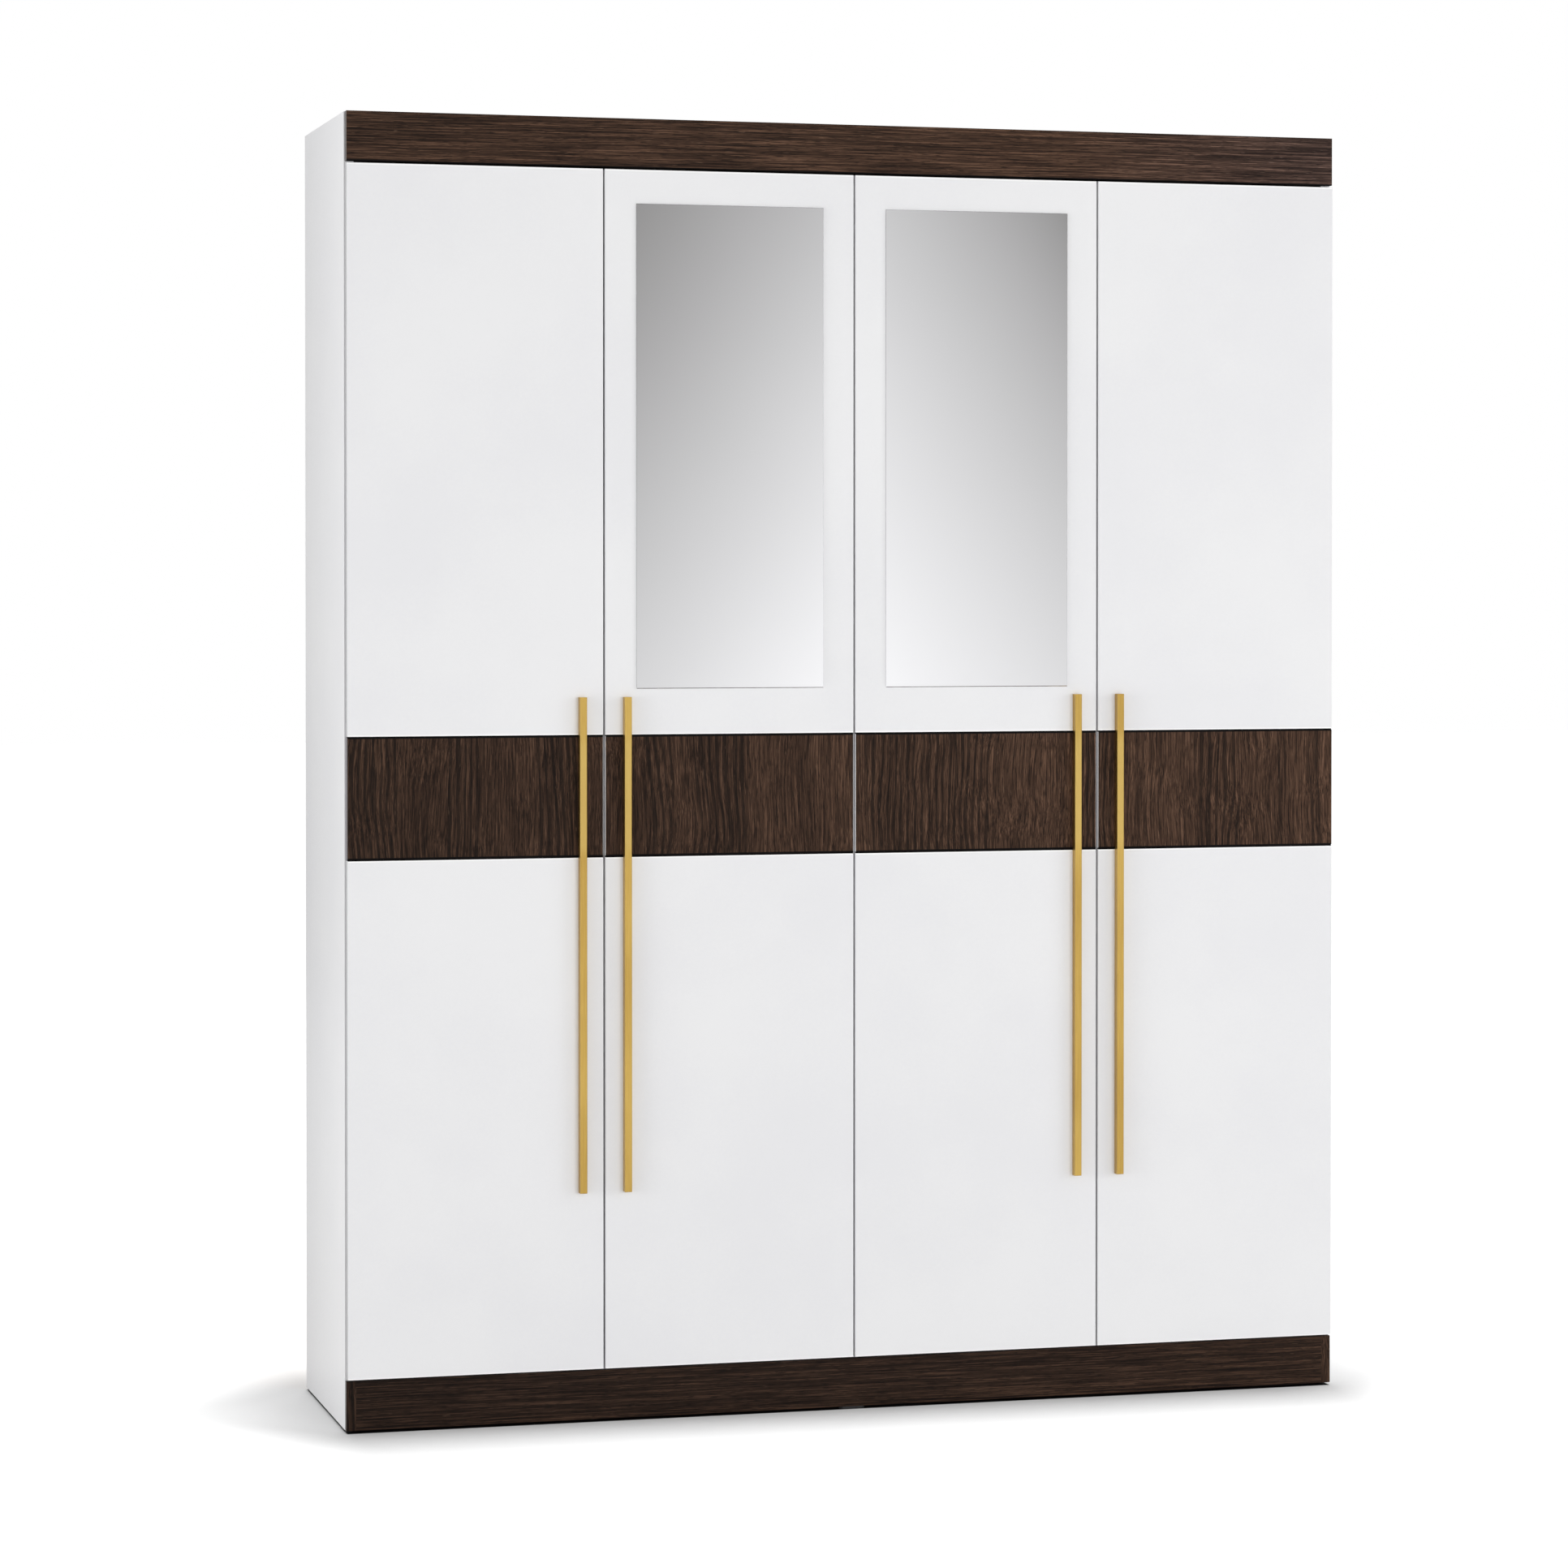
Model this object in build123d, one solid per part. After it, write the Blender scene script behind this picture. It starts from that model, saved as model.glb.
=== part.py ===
from build123d import *
import os

os.makedirs("parts", exist_ok=True)

# Four-door armoire.  Millimetres, +Z up, front towards -Y, origin on the floor in the
# middle of the footprint.

# ---- driving sizes: whole piece -------------------------------------------------------
HEIGHT = 1994.0
WIDTH = 1590.0
CARCASS_DEPTH = 376.0
BOARD = 15.0                    # every laminated board
DOOR_COUNT = 4

# ---- fronts ---------------------------------------------------------------------------
DOOR_THICKNESS = 15.0
DOOR_JOINT = 3.0                # open joint between neighbouring fronts
BUMPER_GAP = 2.0                # door back to carcass front edge
ARRIS = 0.6                     # eased edge of a laminated front
CORNICE_HEIGHT = 75.0
PLINTH_HEIGHT = 75.0
PLINTH_PROUD = 9.0              # plinth front before the carcass front
GLIDE_HEIGHT = 4.0

# ---- wenge band let into each door ----------------------------------------------------
BAND_BOTTOM = 865.5             # floor to the lower groove
BAND_TOP = 1052.5               # floor to the upper groove
BAND_DEPTH = 3.0
BAND_GROOVE = 2.0               # open groove above and below the band panel

# ---- handles and mirrors --------------------------------------------------------------
HANDLE_LENGTH = 757.0
HANDLE_WIDTH = 11.0
HANDLE_DEPTH = 13.0
HANDLE_BOTTOM = 353.0           # floor to the lower end
HANDLE_INSET = 33.5             # free edge of the door to the bar's middle
HANDLE_ARRIS = 0.8

MIRROR_MARGIN = 49.0            # sides of the mirror to the door's edges
MIRROR_TOP_MARGIN = 52.0        # top of the mirror to the door's end
MIRROR_BOTTOM = 1122.5          # floor to the mirror's lower edge
MIRROR_THICKNESS = 3.0
MIRROR_ARRIS = 1.0

# ---- carcass --------------------------------------------------------------------------
EDGE_BAND = 1.0                 # strip on the front edge of the side panels
TOP_RAIL_HEIGHT = 85.0
NOTCH_CLEARANCE = 0.5
BACK_SHEET = 3.0
BACK_SETBACK = 0.8              # sheet to the rear edges of the side panels
BACK_REBATE = 7.0               # width of the side panel's rebate
BACK_SHEET_CLEARANCE = 0.5
GLIDE_LENGTH = 40.0
GLIDE_WIDTH = 14.0
GLIDE_CORNER = 4.0
GLIDE_INSET = 10.0              # panel edge to the glide's end

# ---- inside ---------------------------------------------------------------------------
SHELF_COUNT = 4                 # right bay
FIXED_SHELF = 2                 # counted from below
SHELF_SETBACK = 20.0            # carcass front to the shelves
SHELF_CLEARANCE = 0.5           # each end of a loose shelf
SUPPORT_WALL = 2.0
SUPPORT_LEG = 14.0
SUPPORT_WIDTH = 16.0
SUPPORT_INSET = 50.0            # shelf edge to the support's middle
HAT_SHELF_DROP = 300.0          # top panel to hat shelf

RAIL_WIDTH = 15.0               # oval hanging rail
RAIL_HEIGHT = 30.0
RAIL_WALL = 1.2
RAIL_END_GAP = 8.0              # rail bracket to door bumper plane and to back
RAIL_DROP = 45.0                # hat shelf to the rail's middle
BRACKET_THICKNESS = 3.0
BRACKET_WIDTH = 34.0
BRACKET_FOOT = 22.0
BRACKET_FIT = 0.05              # round the rail

BUMPER_SIZE = 8.0
BUMPER_HEIGHT = 1.9
BUMPER_INSET = 12.0

# ---- concealed hinges -----------------------------------------------------------------
# Each hinge is laid out in its own frame: X from the door's hinge edge towards its free
# edge, Y back from the door's back face, Z along the pivots.
HINGE_END_INSET = 100.0         # door end to the outermost hinges
HINGE_ABOVE_BAND = 70.0         # band to the middle hinge
CUP_CENTRE = 22.5               # hinge edge to the cup's middle
CUP_DIAMETER = 35.0
CUP_DEPTH = 11.0
CUP_BORE_CLEARANCE = 0.2        # below the cup
CUP_FLOOR = 1.0
CUP_POCKET_LENGTH = 28.8
CUP_FLANGE = 1.0
CUP_FLANGE_WIDTH = 60.0         # along the door
CUP_FLANGE_DEPTH = 22.0         # across the door
CUP_FLANGE_CORNER = 7.0
CUP_EAR_MARGIN = 2.2            # ear past the cup's pivots

ARM_PIVOT_OUTER = (43.37, 18.96)
ARM_PIVOT_INNER = (35.72, 3.34)
CUP_PIVOT_OUTER = (11.97, -2.08)
CUP_PIVOT_INNER = (13.61, -4.73)
OUTER_LINK_KNEE = (30.1, -2.0)
INNER_LINK_KNEE = (26.7, -6.3)
LINK_WIDTH = 4.6
LINK_THICKNESS = 6.0
LINK_SIDE_PLAY = 0.3            # between a link and the rib, cheek or pocket
RIB = 1.2                       # middle rib between the two links

ARM_WALL = 1.2
ARM_EYE = 4.4                   # width of the arm round its pivots
ARM_WEB_FRONT = 22.5            # door back to the channel's web
ARM_REAR = 80.0                 # carcass front to the arm's rear end
ARM_HEIGHT = 11.0
PLATE_BASE = 2.0
PLATE_WIDTH = 56.0              # along the panel
PLATE_DEPTH = 20.0
PLATE_CORNER = 7.0
PLATE_SETBACK = 37.0            # carcass front to the plate's screws
PLATE_BODY_REAR = 24.0          # screws to the body's rear end
PLATE_BODY_FRONT = 12.0
PLATE_FIT = 0.1                 # plate body inside the arm

# ---- places worked out from the sizes -------------------------------------------------
DEPTH = HANDLE_DEPTH + DOOR_THICKNESS + BUMPER_GAP + CARCASS_DEPTH
Y_DOOR = HANDLE_DEPTH - DEPTH / 2
Y_CARCASS = Y_DOOR + DOOR_THICKNESS + BUMPER_GAP
Y_PLINTH = Y_CARCASS - PLINTH_PROUD
Y_BACK = DEPTH / 2
Y_REAR_EDGE = Y_BACK - BACK_SHEET - BACK_SETBACK
X_SIDE = WIDTH / 2
X_INSIDE = X_SIDE - BOARD
X_PARTITION = BOARD / 2
Z_FLOOR = GLIDE_HEIGHT + PLINTH_HEIGHT
Z_INSIDE = Z_FLOOR + BOARD
Z_CEILING = HEIGHT - BOARD
DOOR_BOTTOM = Z_FLOOR + DOOR_JOINT
DOOR_TOP = HEIGHT - CORNICE_HEIGHT - DOOR_JOINT
DOOR_PITCH = WIDTH / DOOR_COUNT
DOOR_WIDTH = DOOR_PITCH - DOOR_JOINT
OUTER_OVERLAY = BOARD - DOOR_JOINT / 2
MIDDLE_OVERLAY = X_PARTITION - DOOR_JOINT / 2
DOORS = range(1, DOOR_COUNT + 1)
LEFT, RIGHT = -1, 1


def save(node, *solids):
    """One file per node; a node of several pieces holds separate solids."""
    shape = solids[0] if len(solids) == 1 else Compound(children=list(solids))
    export_step(shape, f"parts/{node}.step")


def slab(x_ends, y_ends, z_ends):
    """A board between three pairs of planes."""
    spans = [sorted(ends) for ends in (x_ends, y_ends, z_ends)]
    middle = [(low + high) / 2 for low, high in spans]
    size = [high - low for low, high in spans]
    return Pos(*middle) * Box(*size)


# ---- carcass --------------------------------------------------------------------------
def side_panel(side):
    board = slab(
        (side * X_INSIDE, side * X_SIDE),
        (Y_CARCASS + EDGE_BAND, Y_BACK),
        (GLIDE_HEIGHT, HEIGHT),
    )
    rebate = slab(
        (side * X_INSIDE, side * (X_INSIDE + BACK_REBATE)),
        (Y_REAR_EDGE, Y_BACK),
        (GLIDE_HEIGHT, HEIGHT),
    )
    return board - rebate


def front_edge_band(side):
    return slab(
        (side * X_INSIDE, side * X_SIDE),
        (Y_CARCASS, Y_CARCASS + EDGE_BAND),
        (Z_FLOOR, HEIGHT),
    )


def plinth_end_strip(side):
    """Upright wenge strip that carries the plinth's face over the side panel's edge."""
    return slab(
        (side * X_INSIDE, side * X_SIDE),
        (Y_PLINTH, Y_CARCASS + EDGE_BAND),
        (GLIDE_HEIGHT, Z_FLOOR),
    )


def cross_board(z_low):
    """Full-width board between the side panels."""
    return slab((-X_INSIDE, X_INSIDE), (Y_CARCASS, Y_REAR_EDGE), (z_low, z_low + BOARD))


def centre_partition():
    board = slab(
        (-X_PARTITION, X_PARTITION),
        (Y_CARCASS, Y_REAR_EDGE),
        (Z_INSIDE, Z_CEILING),
    )
    notch = slab(
        (-X_PARTITION, X_PARTITION),
        (Y_CARCASS, Y_CARCASS + BOARD + NOTCH_CLEARANCE),
        (Z_CEILING - TOP_RAIL_HEIGHT - NOTCH_CLEARANCE, Z_CEILING),
    )
    return board - notch


def front_top_rail():
    return slab(
        (-X_INSIDE, X_INSIDE),
        (Y_CARCASS, Y_CARCASS + BOARD),
        (Z_CEILING - TOP_RAIL_HEIGHT, Z_CEILING),
    )


def cornice_board():
    end = X_SIDE - DOOR_JOINT / 2
    board = slab((-end, end), (Y_CARCASS - BOARD, Y_CARCASS), (HEIGHT - CORNICE_HEIGHT, HEIGHT))
    return chamfer(board.faces().sort_by(Axis.Y)[0].edges(), ARRIS)


def plinth_board(y_front):
    return slab((-X_INSIDE, X_INSIDE), (y_front, y_front + BOARD), (GLIDE_HEIGHT, Z_FLOOR))


def back_sheet(side):
    return slab(
        (side * BACK_SHEET_CLEARANCE, side * (X_INSIDE + BACK_REBATE - BACK_SHEET_CLEARANCE)),
        (Y_REAR_EDGE, Y_REAR_EDGE + BACK_SHEET),
        (Z_FLOOR + BACK_SHEET_CLEARANCE, HEIGHT - BACK_SHEET_CLEARANCE),
    )


def glides():
    """Nail-on glides: two under each side panel, one under each plinth board's middle."""
    corners = Rectangle(GLIDE_WIDTH, GLIDE_LENGTH)
    pad = extrude(chamfer(corners.vertices(), GLIDE_CORNER), GLIDE_HEIGHT)
    inset = GLIDE_INSET + GLIDE_LENGTH / 2
    side_pads = [
        Pos(side * (X_SIDE - BOARD / 2), y, 0) * pad
        for side in (LEFT, RIGHT)
        for y in (Y_CARCASS + inset, Y_BACK - inset)
    ]
    middle_pads = [
        Pos(0, y, 0) * Rot(Z=90) * pad for y in (Y_PLINTH + BOARD / 2, Y_REAR_EDGE - BOARD / 2)
    ]
    return side_pads + middle_pads


# ---- inside ---------------------------------------------------------------------------
SHELF_GAP = (Z_CEILING - Z_INSIDE - SHELF_COUNT * BOARD) / (SHELF_COUNT + 1)
SHELVES = range(1, SHELF_COUNT + 1)
LOOSE_SHELVES = [number for number in SHELVES if number != FIXED_SHELF]
Y_SHELF = Y_CARCASS + SHELF_SETBACK
HAT_SHELF_BOTTOM = Z_CEILING - HAT_SHELF_DROP - BOARD


def shelf_bottom(number):
    return Z_INSIDE + number * SHELF_GAP + (number - 1) * BOARD


def right_bay_shelf(number):
    play = 0 if number == FIXED_SHELF else SHELF_CLEARANCE
    z_low = shelf_bottom(number)
    return slab((X_PARTITION + play, X_INSIDE - play), (Y_SHELF, Y_REAR_EDGE), (z_low, z_low + BOARD))


def hat_shelf():
    z_ends = (HAT_SHELF_BOTTOM, HAT_SHELF_BOTTOM + BOARD)
    return slab((-X_INSIDE, -X_PARTITION), (Y_SHELF, Y_REAR_EDGE), z_ends)


def shelf_support(face, side, y, number):
    """Angle on a board's face, its upper leg under a loose shelf."""
    shelf = shelf_bottom(number)
    y_ends = (y - SUPPORT_WIDTH / 2, y + SUPPORT_WIDTH / 2)
    upright = slab((face, face - side * SUPPORT_WALL), y_ends, (shelf - SUPPORT_LEG, shelf))
    return upright + slab((face, face - side * SUPPORT_LEG), y_ends, (shelf - SUPPORT_WALL, shelf))


def shelf_supports():
    return [
        shelf_support(face, side, y, number)
        for number in LOOSE_SHELVES
        for face, side in ((X_PARTITION, LEFT), (X_INSIDE, RIGHT))
        for y in (Y_SHELF + SUPPORT_INSET, Y_REAR_EDGE - SUPPORT_INSET)
    ]


RAIL_X = -(X_PARTITION + X_INSIDE) / 2
RAIL_Z = HAT_SHELF_BOTTOM - RAIL_DROP
RAIL_FRONT = Y_SHELF + RAIL_END_GAP
RAIL_BACK = Y_REAR_EDGE - RAIL_END_GAP


def oval(width, height, y_front, y_back):
    """Upright oval bar along Y at the rail's place."""
    section = Plane.XZ * SlotOverall(height, width, rotation=90)
    return Pos(RAIL_X, y_back, RAIL_Z) * extrude(section, y_back - y_front)


def hanging_rail():
    """Oval tube from front to back, so that hangers face the doors."""
    inner = RAIL_WIDTH - 2 * RAIL_WALL, RAIL_HEIGHT - 2 * RAIL_WALL
    return oval(RAIL_WIDTH, RAIL_HEIGHT, RAIL_FRONT, RAIL_BACK) - oval(*inner, RAIL_FRONT, RAIL_BACK)


def rail_bracket(y_front, foot_side):
    """Plate round the rail, with a foot under the hat shelf."""
    y_back = y_front + BRACKET_THICKNESS
    plate = oval(BRACKET_WIDTH, BRACKET_WIDTH + RAIL_WIDTH, y_front, y_back)
    plate += slab(
        (RAIL_X - BRACKET_WIDTH / 2, RAIL_X + BRACKET_WIDTH / 2),
        (y_front, y_back),
        (RAIL_Z, HAT_SHELF_BOTTOM),
    )
    foot_root = y_back if foot_side > 0 else y_front
    foot = slab(
        (RAIL_X - BRACKET_WIDTH / 2, RAIL_X + BRACKET_WIDTH / 2),
        (foot_root, foot_root + foot_side * BRACKET_FOOT),
        (HAT_SHELF_BOTTOM - BRACKET_THICKNESS, HAT_SHELF_BOTTOM),
    )
    fit = 2 * BRACKET_FIT
    return plate + foot - oval(RAIL_WIDTH + fit, RAIL_HEIGHT + fit, y_front, y_back)


def rail_brackets():
    front = RAIL_FRONT + BRACKET_THICKNESS
    back = RAIL_BACK - 2 * BRACKET_THICKNESS
    return rail_bracket(front, 1), rail_bracket(back, -1)


# ---- doors ----------------------------------------------------------------------------
def door_ends(number):
    left = -X_SIDE + (number - 1) * DOOR_PITCH + DOOR_JOINT / 2
    return left, left + DOOR_WIDTH


def hinge_side(number):
    """Doors open in pairs: odd ones hang on their left edge, even ones on their right."""
    return LEFT if number % 2 else RIGHT


def handle_x(number):
    left, right = door_ends(number)
    return right - HANDLE_INSET if hinge_side(number) == LEFT else left + HANDLE_INSET


def door_board(number):
    y_ends = (Y_DOOR, Y_DOOR + DOOR_THICKNESS)
    board = slab(door_ends(number), y_ends, (DOOR_BOTTOM, DOOR_TOP))
    board = chamfer(board.faces().sort_by(Axis.Y)[0].edges(), ARRIS)
    board -= slab(door_ends(number), (Y_DOOR, Y_DOOR + BAND_DEPTH), (BAND_BOTTOM, BAND_TOP))
    return board - at_hinges(number, cup_disc(CUP_DEPTH + CUP_BORE_CLEARANCE))


def band_panel(number):
    z_ends = (BAND_BOTTOM + BAND_GROOVE, BAND_TOP - BAND_GROOVE)
    panel = slab(door_ends(number), (Y_DOOR, Y_DOOR + BAND_DEPTH), z_ends)
    return chamfer(panel.faces().sort_by(Axis.Y)[0].edges(), ARRIS)


def handle_bar(number):
    x = handle_x(number)
    bar = slab(
        (x - HANDLE_WIDTH / 2, x + HANDLE_WIDTH / 2),
        (Y_DOOR - HANDLE_DEPTH, Y_DOOR),
        (HANDLE_BOTTOM, HANDLE_BOTTOM + HANDLE_LENGTH),
    )
    return chamfer(bar.faces().sort_by(Axis.Y)[0].edges(), HANDLE_ARRIS)


def mirror_plate(number):
    left, right = door_ends(number)
    glass = slab(
        (left + MIRROR_MARGIN, right - MIRROR_MARGIN),
        (Y_DOOR - MIRROR_THICKNESS, Y_DOOR),
        (MIRROR_BOTTOM, DOOR_TOP - MIRROR_TOP_MARGIN),
    )
    return chamfer(glass.faces().sort_by(Axis.Y)[0].edges(), MIRROR_ARRIS)


def door_bumpers():
    """Soft square pads on the carcass's front edge, behind each door's free corners."""
    z_middles = (DOOR_BOTTOM + Z_INSIDE) / 2, (DOOR_TOP + Z_CEILING - TOP_RAIL_HEIGHT) / 2
    half = BUMPER_SIZE / 2
    pads = []
    for number in DOORS:
        left, right = door_ends(number)
        x = right - BUMPER_INSET if hinge_side(number) == LEFT else left + BUMPER_INSET
        pads += [
            slab((x - half, x + half), (Y_CARCASS - BUMPER_HEIGHT, Y_CARCASS), (z - half, z + half))
            for z in z_middles
        ]
    return pads


# ---- hinge pieces ---------------------------------------------------------------------
LINK_INNER_END = RIB / 2 + LINK_SIDE_PLAY
LINK_OUTER_END = LINK_INNER_END + LINK_THICKNESS
POCKET_HALF = LINK_OUTER_END + LINK_SIDE_PLAY
ARM_LOW = OUTER_OVERLAY + PLATE_BASE
ARM_TOP = ARM_LOW + ARM_HEIGHT
ARM_END = BUMPER_GAP + ARM_REAR


def hinge_heights():
    return (
        DOOR_BOTTOM + HINGE_END_INSET,
        BAND_TOP + HINGE_ABOVE_BAND,
        DOOR_TOP - HINGE_END_INSET,
    )


def at_hinges(number, piece):
    """Copies of a piece drawn in the hinge's frame, at each of a door's hinges."""
    side = hinge_side(number)
    left, right = door_ends(number)
    x = left if side == LEFT else right
    turned = piece if side == LEFT else mirror(piece, about=Plane.YZ)
    return [Pos(x, Y_DOOR + DOOR_THICKNESS, z) * turned for z in hinge_heights()]


def cup_disc(depth):
    """Round plug from the door's back face down to a depth in it."""
    return Pos(CUP_CENTRE, -depth / 2, 0) * Rot(X=90) * Cylinder(CUP_DIAMETER / 2, depth)


def hinge_cup():
    """Round body with a pocket for the links, an ear between them and a screw flange."""
    corners = Rectangle(CUP_FLANGE_DEPTH, CUP_FLANGE_WIDTH)
    corners = chamfer(corners.vertices(), CUP_FLANGE_CORNER)
    flange = Pos(CUP_CENTRE, 0, 0) * extrude(Plane.XZ * corners, -CUP_FLANGE)
    pocket_x = (CUP_CENTRE - CUP_POCKET_LENGTH / 2, CUP_CENTRE + CUP_POCKET_LENGTH / 2)
    pocket_y = (CUP_FLOOR - CUP_DEPTH, CUP_FLANGE)
    cup = cup_disc(CUP_DEPTH) + flange - slab(pocket_x, pocket_y, (-POCKET_HALF, POCKET_HALF))
    ear_x = (CUP_PIVOT_OUTER[0] - CUP_EAR_MARGIN, CUP_PIVOT_INNER[0] + CUP_EAR_MARGIN)
    return cup + slab(ear_x, (CUP_FLOOR - CUP_DEPTH, 0), (-RIB / 2, RIB / 2))


def link(arm_pivot, knee, cup_pivot, z_low):
    """Cranked link with round ends, pinned to the arm and to the cup."""
    outline = Sketch() + [
        SlotCenterPoint((Vector(*start) + Vector(*end)) / 2, end, LINK_WIDTH)
        for start, end in ((arm_pivot, knee), (knee, cup_pivot))
    ]
    return Pos(0, 0, z_low) * extrude(outline, LINK_THICKNESS)


def outer_link():
    return link(ARM_PIVOT_OUTER, OUTER_LINK_KNEE, CUP_PIVOT_OUTER, LINK_INNER_END)


def inner_link():
    return link(ARM_PIVOT_INNER, INNER_LINK_KNEE, CUP_PIVOT_INNER, -LINK_OUTER_END)


def arm_outline():
    """Side view: a nose round both pivots, and a straight channel behind it."""
    middle = (ARM_LOW + ARM_TOP) / 2
    eye = RegularPolygon(ARM_EYE / 2, 8, major_radius=False)
    shoulder = Pos(middle, ARM_WEB_FRONT) * Rectangle(ARM_HEIGHT, ARM_WALL)
    ends = [Pos(*ARM_PIVOT_OUTER) * eye, Pos(*ARM_PIVOT_INNER) * eye, shoulder]
    nose = make_hull([edge for end in ends for edge in end.edges()])
    length = ARM_END - ARM_WEB_FRONT
    return nose + Pos(middle, ARM_WEB_FRONT + length / 2) * Rectangle(ARM_HEIGHT, length)


def hinge_arm():
    """Channel open towards the panel; its nose has two cheeks and a rib between the links."""
    outline = arm_outline()
    cheek = extrude(outline, ARM_WALL)
    arm = Pos(0, 0, POCKET_HALF) * cheek + Pos(0, 0, -POCKET_HALF - ARM_WALL) * cheek
    arm += slab((ARM_TOP - ARM_WALL, ARM_TOP), (ARM_WEB_FRONT, ARM_END), (-POCKET_HALF, POCKET_HALF))
    nose = slab(
        (0, ARM_PIVOT_OUTER[0] + ARM_EYE),
        (0, ARM_WEB_FRONT + ARM_WALL),
        (-RIB / 2, RIB / 2),
    )
    return arm + (Pos(0, 0, -RIB / 2) * extrude(outline, RIB) & nose)


def mounting_plate(overlay):
    """Plate on the panel's face, its body inside the arm's channel."""
    screws = BUMPER_GAP + PLATE_SETBACK
    half = POCKET_HALF - PLATE_FIT
    wings = slab(
        (overlay, overlay + PLATE_BASE),
        (screws - PLATE_DEPTH / 2, screws + PLATE_DEPTH / 2),
        (-PLATE_WIDTH / 2, PLATE_WIDTH / 2),
    )
    wings = chamfer(wings.edges().filter_by(Axis.X), PLATE_CORNER)
    body_y = (screws - PLATE_BODY_FRONT, screws + PLATE_BODY_REAR)
    return wings + slab((overlay, ARM_TOP - ARM_WALL), body_y, (-half, half))


# ---- files ----------------------------------------------------------------------------
for side, name in ((LEFT, "left"), (RIGHT, "right")):
    save(f"{name}_side_panel", side_panel(side))
    save(f"{name}_front_edge_band", front_edge_band(side))
    save(f"{name}_plinth_end_strip", plinth_end_strip(side))
    save(f"{name}_back_sheet", back_sheet(side))
save("centre_partition", centre_partition())
save("top_panel", cross_board(Z_CEILING))
save("bottom_panel", cross_board(Z_FLOOR))
save("front_top_rail", front_top_rail())
save("cornice_board", cornice_board())
save("plinth_board", plinth_board(Y_PLINTH))
save("rear_plinth_board", plinth_board(Y_REAR_EDGE - BOARD))
save("glides", *glides())
save("hat_shelf", hat_shelf())
for number in SHELVES:
    save(f"right_bay_shelf_{number}", right_bay_shelf(number))
save("shelf_supports", *shelf_supports())
save("hanging_rail", hanging_rail())
save("rail_brackets", *rail_brackets())
save("door_bumpers", *door_bumpers())

arms, plates = [], []
for number in DOORS:
    outer = number in (1, DOOR_COUNT)
    overlay = OUTER_OVERLAY if outer else MIDDLE_OVERLAY
    save(f"door_{number}_board", door_board(number))
    save(f"door_{number}_band_panel", band_panel(number))
    save(f"door_{number}_handle_bar", handle_bar(number))
    if not outer:
        save(f"door_{number}_mirror", mirror_plate(number))
    save(f"door_{number}_hinge_cups", *at_hinges(number, hinge_cup()))
    save(f"door_{number}_outer_links", *at_hinges(number, outer_link()))
    save(f"door_{number}_inner_links", *at_hinges(number, inner_link()))
    arms += at_hinges(number, hinge_arm())
    plates += at_hinges(number, mounting_plate(overlay))
save("hinge_arms", *arms)
save("hinge_plates", *plates)
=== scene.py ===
import math

import bpy
from mathutils import Matrix, Vector


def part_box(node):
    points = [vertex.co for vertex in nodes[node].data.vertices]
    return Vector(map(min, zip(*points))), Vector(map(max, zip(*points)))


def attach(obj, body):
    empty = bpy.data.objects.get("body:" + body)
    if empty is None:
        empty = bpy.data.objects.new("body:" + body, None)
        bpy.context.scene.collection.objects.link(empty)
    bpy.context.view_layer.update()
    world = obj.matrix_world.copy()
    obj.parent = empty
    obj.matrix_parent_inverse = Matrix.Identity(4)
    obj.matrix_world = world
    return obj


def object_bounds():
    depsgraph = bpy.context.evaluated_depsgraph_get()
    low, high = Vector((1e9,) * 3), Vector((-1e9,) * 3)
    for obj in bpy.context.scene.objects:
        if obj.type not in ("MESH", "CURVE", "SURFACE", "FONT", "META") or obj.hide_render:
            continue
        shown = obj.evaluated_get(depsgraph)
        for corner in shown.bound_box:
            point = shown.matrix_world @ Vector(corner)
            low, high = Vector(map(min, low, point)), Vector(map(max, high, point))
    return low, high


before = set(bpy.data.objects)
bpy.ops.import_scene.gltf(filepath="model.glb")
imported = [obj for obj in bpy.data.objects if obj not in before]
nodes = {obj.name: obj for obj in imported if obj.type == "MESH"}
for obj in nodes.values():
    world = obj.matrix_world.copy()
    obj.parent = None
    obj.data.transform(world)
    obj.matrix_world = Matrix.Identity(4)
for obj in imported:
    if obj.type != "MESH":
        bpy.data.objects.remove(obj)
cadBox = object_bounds()
bpy.ops.object.select_all(action="DESELECT")
scene = bpy.context.scene
print("frame loaded:", len(nodes), "nodes")

doors = (1, 2, 3, 4)
middleDoors = (2, 3)
shelves = (1, 2, 3, 4)
hingeHand = {1: 1, 2: -1, 3: 1, 4: -1}   # +1 hangs on its left edge
outerEdge = {1: -1, 4: 1}                # doors whose free-standing edge shows at the side
square = 0.9                             # a face counts as facing an axis above this
noiseMiddle = 0.5
noiseSpan = (0.3, 0.7)                   # where most of a noise's values lie
toneSpan = (0.35, 0.65)                  # the narrower span that gives a tone its contrast
fine = (2, 0.6)                          # detail and roughness of a noise
cloudy = (3, 0.6)

cameraSetup = {
    "place": (-1.8798, -6.7402, 1.2709),
    "tilt": -0.710,          # degrees, looking slightly down
    "turn": -15.094,
    "lens": 100.89,
    "film": 36,
    "shiftY": -0.0879,
    "reach": 200,
}


def addCamera(setup):
    turn = (math.radians(90 + setup["tilt"]), 0, math.radians(setup["turn"]))
    bpy.ops.object.camera_add(location=setup["place"], rotation=turn)
    camera = bpy.context.object
    camera.name = "studioCamera"
    camera.data.lens = setup["lens"]
    camera.data.sensor_width = setup["film"]
    camera.data.shift_y = setup["shiftY"]
    camera.data.clip_end = setup["reach"]
    scene.camera = camera


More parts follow.
